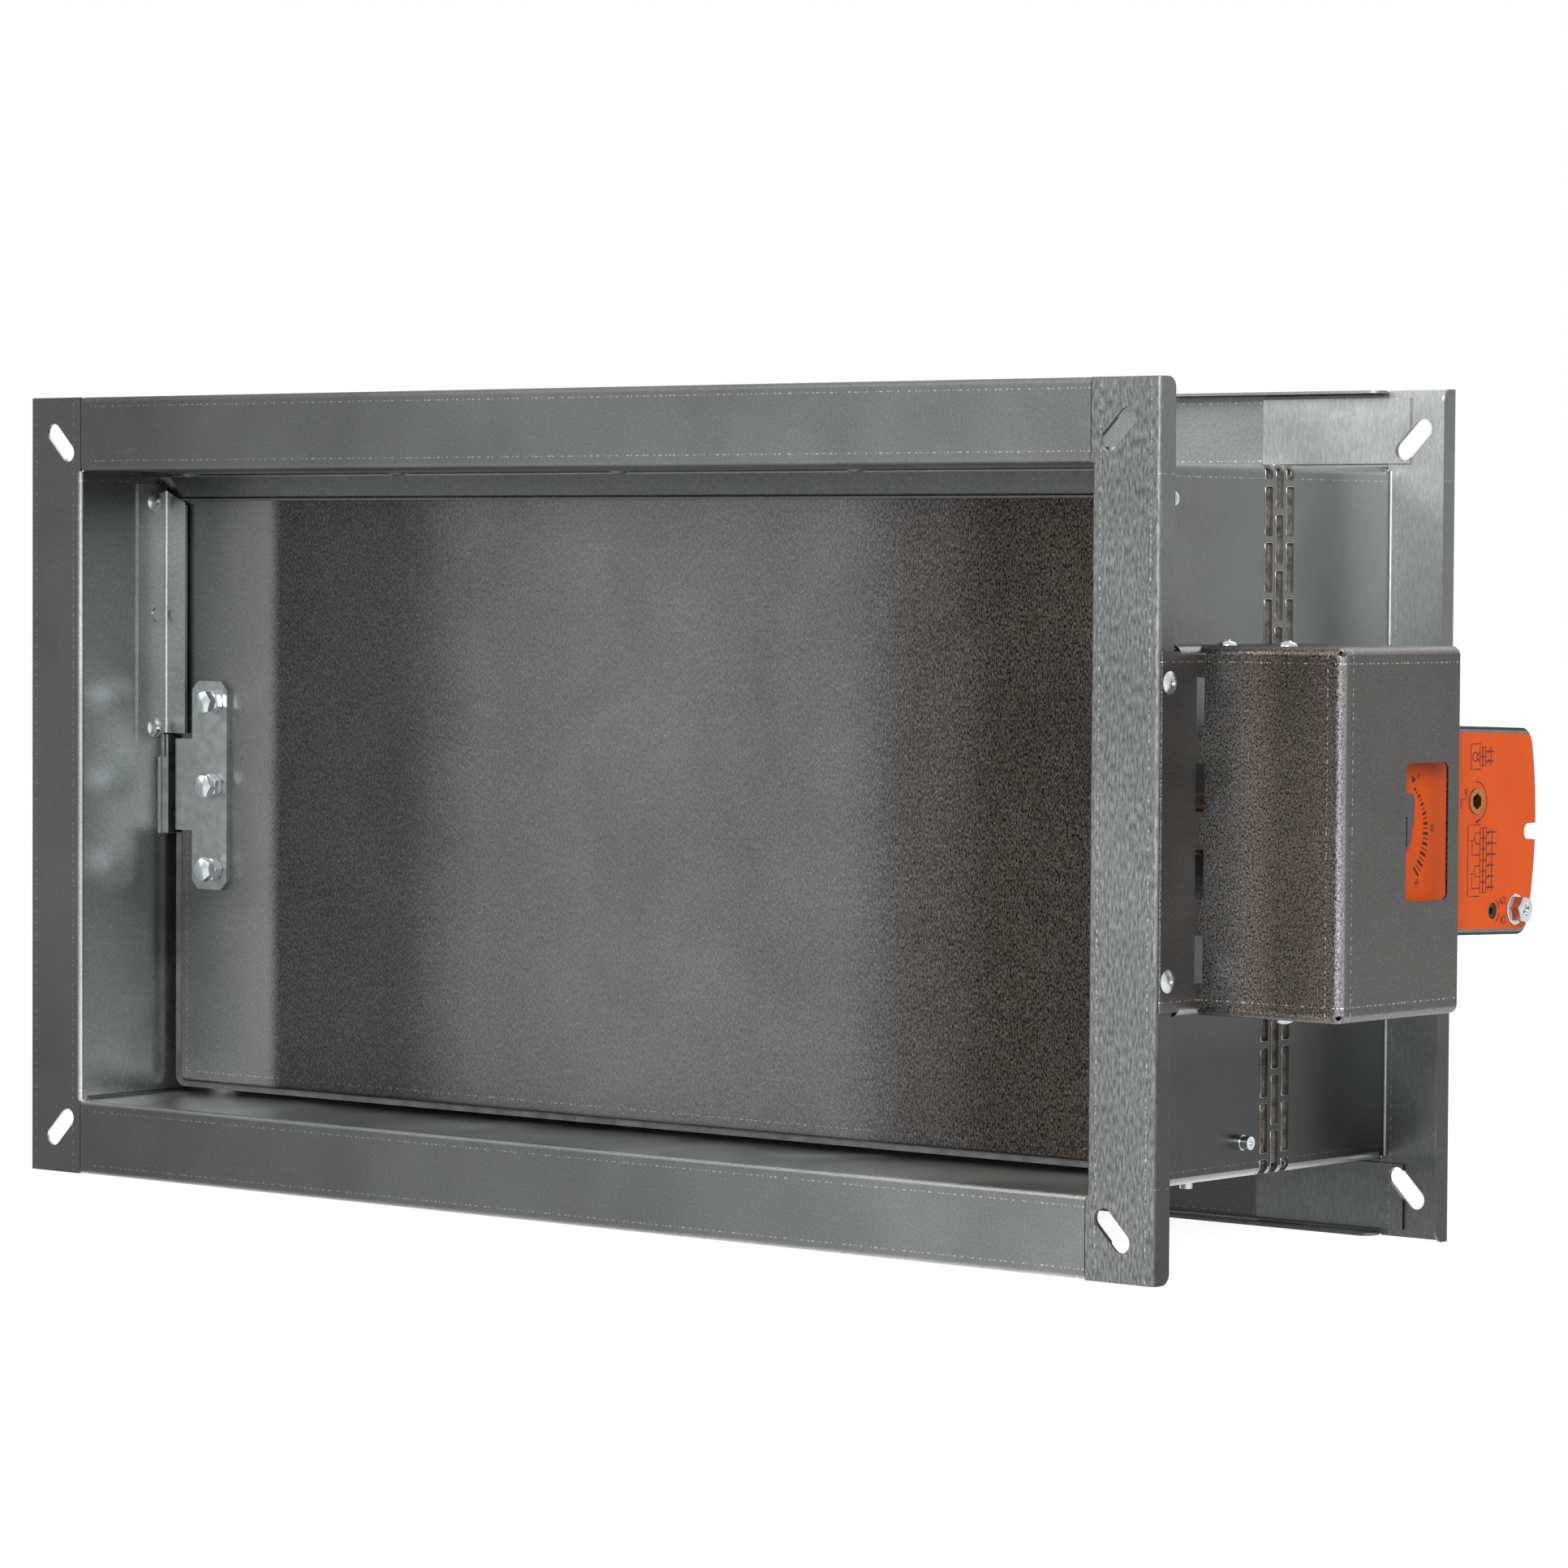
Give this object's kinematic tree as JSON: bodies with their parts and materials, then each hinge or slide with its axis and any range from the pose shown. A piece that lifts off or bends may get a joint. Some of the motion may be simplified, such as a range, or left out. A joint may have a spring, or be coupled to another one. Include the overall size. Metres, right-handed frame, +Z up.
{
  "type": "fire damper",
  "caption": "Rectangular fire damper with flanged sheet casing, pivoting insulated blade, stops, a covered spring return actuator and corner fixing slots.",
  "frame": {"origin": "centre of the duct opening in the plane of the front flange's face", "axes": "+X across the duct towards the actuator side, +Y along the air path from the front flange to the rear flange, +Z up"},
  "size_m": [0.741, 0.217, 0.37],
  "materials": {
    "galvanised_sheet": "galvanised steel sheet with a fine grain",
    "zinc_plated_plate": "zinc plated steel",
    "zinc_plated_fastener": "zinc plated steel",
    "rivet_metal": "bright aluminium",
    "shaft_steel": "turned steel",
    "bronze": "sintered bronze",
    "insulating_strip": "dark brown intumescent strip",
    "fire_board": "pressed mineral board",
    "seal_strip": "grey lip seal",
    "actuator_base_metal": "grey metal",
    "dark_plastic": "black moulded plastic",
    "orange_label": "printed orange film",
    "clamp_metal": "die cast"
  },
  "bodies": {
    "casing": {"actuator_base": "actuator_base_metal", "actuator_bracket": "galvanised_sheet", "actuator_fixing_bolt": "zinc_plated_fastener", "actuator_fixing_nut": "zinc_plated_fastener", "actuator_front_cover": "actuator_base_metal", "actuator_housing": "dark_plastic", "actuator_label": "orange_label", "bearing_plate_left": "zinc_plated_plate", "bearing_plate_right": "zinc_plated_plate", "bearing_plate_rivets": "rivet_metal", "bottom_stop": "galvanised_sheet", "bracket_rivets": "rivet_metal", "cable_gland": "dark_plastic", "casing_bottom_panel": "galvanised_sheet", "casing_left_panel": "galvanised_sheet", "casing_right_panel": "galvanised_sheet", "casing_top_panel": "galvanised_sheet", "cover_bracket_lower": "galvanised_sheet", "cover_bracket_upper": "galvanised_sheet", "cover_flap_rivets": "rivet_metal", "cover_screws": "zinc_plated_fastener", "drive_cover": "galvanised_sheet", "lower_stop_left": "galvanised_sheet", "lower_stop_right": "galvanised_sheet", "shaft_bush_left": "bronze", "shaft_bush_right": "bronze", "stop_rivets": "rivet_metal", "thermal_liner_bottom": "insulating_strip", "thermal_liner_left": "insulating_strip", "thermal_liner_right": "insulating_strip", "thermal_liner_top": "insulating_strip", "top_stop": "galvanised_sheet", "upper_stop_left": "galvanised_sheet", "upper_stop_right": "galvanised_sheet"},
    "blade": {"blade_front_pan": "galvanised_sheet", "blade_rear_pan": "galvanised_sheet", "blade_core": "fire_board", "blade_edge_seal": "seal_strip", "hinge_plate_right": "zinc_plated_plate", "hinge_plate_left": "zinc_plated_plate", "clamp_plate_right": "zinc_plated_plate", "clamp_plate_left": "zinc_plated_plate", "blade_bolts": "zinc_plated_fastener", "blade_front_nuts": "zinc_plated_fastener", "blade_rear_nuts": "zinc_plated_fastener", "pivot_pin": "shaft_steel", "pivot_retaining_ring": "shaft_steel", "drive_shaft": "shaft_steel", "thrust_washers": "zinc_plated_fastener", "actuator_hub": "dark_plastic", "hub_clamp": "clamp_metal"},
    "winding_key_socket": {"winding_socket": "bronze"},
    "lock_key_socket": {"spring_lock": "dark_plastic"}
  },
  "joints": [
    {"name": "blade_swing", "type": "hinge", "parent": "casing", "child": "blade", "pos_m": [0, 0.077, 0], "axis": [-1, 0, 0], "range_deg": [0, 90], "stiffness_Nm_per_rad": 1.5, "springref_deg": -17.19},
    {"name": "spring_winding", "type": "hinge", "parent": "casing", "child": "winding_key_socket", "pos_m": [0.39, 0.1379, 0.0108], "axis": [1, 0, 0], "continuous": true},
    {"name": "spring_lock_turn", "type": "hinge", "parent": "casing", "child": "lock_key_socket", "pos_m": [0.39, 0.1514, -0.0355], "axis": [1, 0, 0], "range_deg": [0, 75]}
  ]
}
